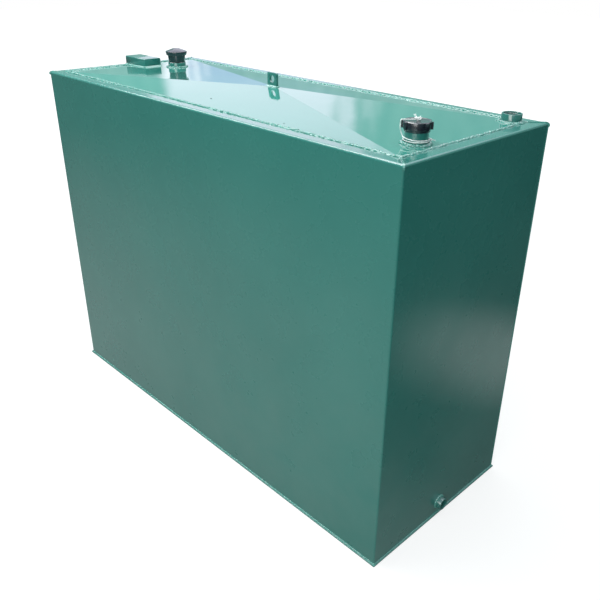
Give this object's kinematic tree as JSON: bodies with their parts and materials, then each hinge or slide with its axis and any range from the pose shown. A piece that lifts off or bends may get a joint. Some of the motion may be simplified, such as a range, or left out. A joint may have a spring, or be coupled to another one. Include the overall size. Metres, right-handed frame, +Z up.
{
  "type": "slimline bunded oil tank",
  "caption": "Slim welded steel oil tank inside a steel bund, with a screw fill cap on a cord, a vent cap, a vent cowl, a gauge socket, a drain socket and a lifting lug.",
  "frame": {"origin": "centre of the base plate's underside, on the floor", "axes": "+X along the tank's length towards the end with the drain socket, +Y from the front to the back, +Z up"},
  "size_m": [1.704, 0.65, 1.2938],
  "materials": {
    "bund_paint": "gloss",
    "panel_paint": "high gloss",
    "weld_paint": "gloss over rippled weld",
    "fitting_paint": "gloss",
    "inner_steel": "satin",
    "cap_plastic": "satin",
    "seal_rubber": "matt",
    "tether_cord": "braided",
    "gauze_wire": "woven"
  },
  "bodies": {
    "tank": {"base_plate": "bund_paint", "front_skin": "bund_paint", "left_end_skin": "bund_paint", "right_end_skin": "bund_paint", "back_skin": "bund_paint", "top_panel": "panel_paint", "base_seam_weld": "weld_paint", "back_seam_welds": "weld_paint", "top_seam_weld": "weld_paint", "rim_corner_welds": "weld_paint", "lifting_lug": "fitting_paint", "lug_weld": "weld_paint", "vent_cowl": "fitting_paint", "cowl_weld": "weld_paint", "fill_neck": "fitting_paint", "fill_weld": "weld_paint", "tether_drop": "tether_cord", "tether_wraps": "tether_cord", "vent_pipe": "fitting_paint", "vent_socket": "fitting_paint", "vent_weld": "weld_paint", "gauge_pipe": "fitting_paint", "gauge_socket": "fitting_paint", "gauge_weld": "weld_paint", "drain_socket": "fitting_paint", "drain_weld": "weld_paint", "inner_front_skin": "inner_steel", "inner_left_end": "inner_steel", "inner_right_end": "inner_steel", "inner_back_skin": "inner_steel", "inner_top_left": "inner_steel", "inner_top_middle": "inner_steel", "inner_top_right": "inner_steel", "inner_bottom": "inner_steel", "pipe_root_welds": "inner_steel", "baffle_left": "inner_steel", "baffle_right": "inner_steel", "bearer_left": "inner_steel", "bearer_middle": "inner_steel", "bearer_right": "inner_steel", "end_spacer_left": "inner_steel", "end_spacer_right": "inner_steel", "front_spacer_left": "inner_steel", "front_spacer_right": "inner_steel", "back_spacer_left": "inner_steel", "back_spacer_right": "inner_steel"},
    "fill_lift": {"tether_knot": "tether_cord"},
    "fill_cap": {"fill_cap": "cap_plastic", "fill_cap_gasket": "seal_rubber"},
    "vent_lift": {"vent_cap_seal": "seal_rubber"},
    "vent_cap": {"vent_cap_body": "cap_plastic", "vent_cap_hood": "cap_plastic", "vent_gauze": "gauze_wire"}
  },
  "joints": [
    {"name": "fill_cap_lift", "type": "slide", "parent": "tank", "child": "fill_lift", "axis": [0, 0, 1], "range_m": [0, 0.0139], "deforming": ["tether_drop"]},
    {"name": "fill_cap_turn", "type": "hinge", "parent": "fill_lift", "child": "fill_cap", "pos_m": [0.742, -0.152, 1.26], "axis": [0, 0, 1], "range_deg": [0, 2160]},
    {"name": "vent_cap_lift", "type": "slide", "parent": "tank", "child": "vent_lift", "axis": [0, 0, 1], "range_m": [0, 0.0139]},
    {"name": "vent_cap_turn", "type": "hinge", "parent": "vent_lift", "child": "vent_cap", "pos_m": [-0.605, 0.085, 1.26], "axis": [0, 0, 1], "range_deg": [0, 2160]}
  ],
  "couplings": [
    {"joint": "fill_cap_lift", "follows": "fill_cap_turn", "m_per_rad": 0.0003675},
    {"joint": "vent_cap_lift", "follows": "vent_cap_turn", "m_per_rad": 0.0003675}
  ]
}
